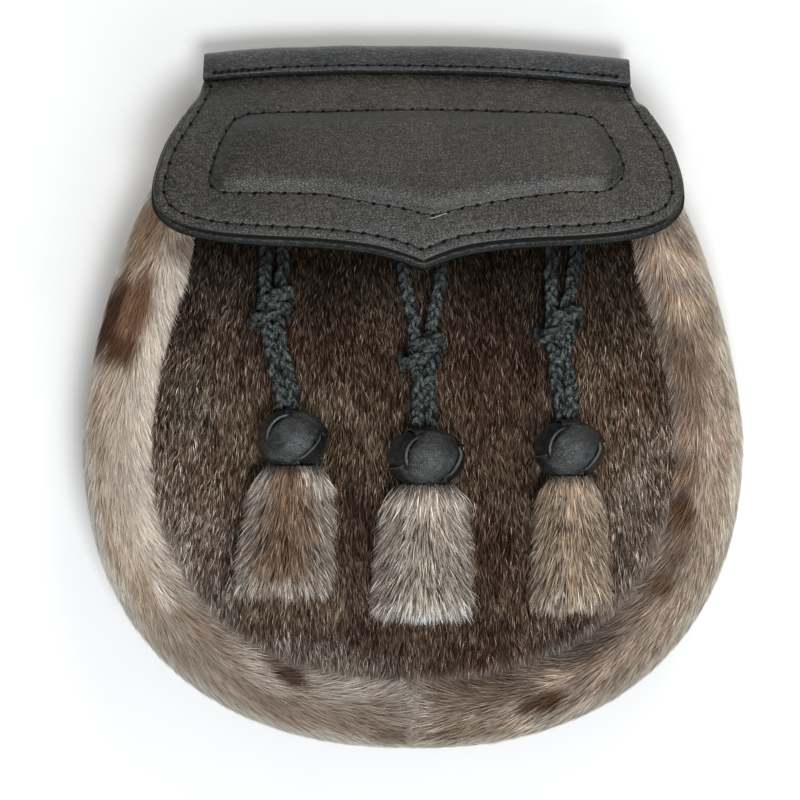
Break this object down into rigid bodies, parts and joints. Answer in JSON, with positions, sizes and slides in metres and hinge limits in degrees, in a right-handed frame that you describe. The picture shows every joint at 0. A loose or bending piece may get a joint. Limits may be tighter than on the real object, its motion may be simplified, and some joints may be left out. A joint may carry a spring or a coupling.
{
  "type": "sporran pouch",
  "caption": "Rounded fur-fronted pouch with soft fur sides, a stitched leather flap, woven leather ball tassels and a strap keeper on its back, lying face up.",
  "frame": {"origin": "the middle of the outline on the surface that the pouch lies on", "axes": "+Z comes out of the front, +Y runs from the bottom seam to the top binding, +X to the right as the front is looked at"},
  "size_m": [0.21, 0.2236, 0.0596],
  "materials": {
    "leather": "pebbled, satin black",
    "back_leather": "plain, matt black",
    "panel_fur": "short dark brown fur hide",
    "pale_fur": "short pale grey-beige fur hide with brown spots",
    "taupe_fur": "short taupe fur hide with brown spots",
    "braid": "braided black thong",
    "tassel_fur": "loose fur, brown to cream"
  },
  "bodies": {
    "root": {"back_panel": "back_leather", "front_panel": "panel_fur", "gusset_left": "pale_fur", "gusset_right": "taupe_fur", "top_binding": "leather", "flap": "leather", "flap_backing": "leather", "strap_loop": "back_leather", "tassel_1_cord_left": "braid", "tassel_1_cord_right": "braid", "tassel_1_knot": "braid", "tassel_1_ball": "leather", "tassel_1_fur": "tassel_fur", "tassel_2_cord_left": "braid", "tassel_2_cord_right": "braid", "tassel_2_knot": "braid", "tassel_2_ball": "leather", "tassel_2_fur": "tassel_fur", "tassel_3_cord_left": "braid", "tassel_3_cord_right": "braid", "tassel_3_knot": "braid", "tassel_3_ball": "leather", "tassel_3_fur": "tassel_fur"}
  },
  "joints": []
}
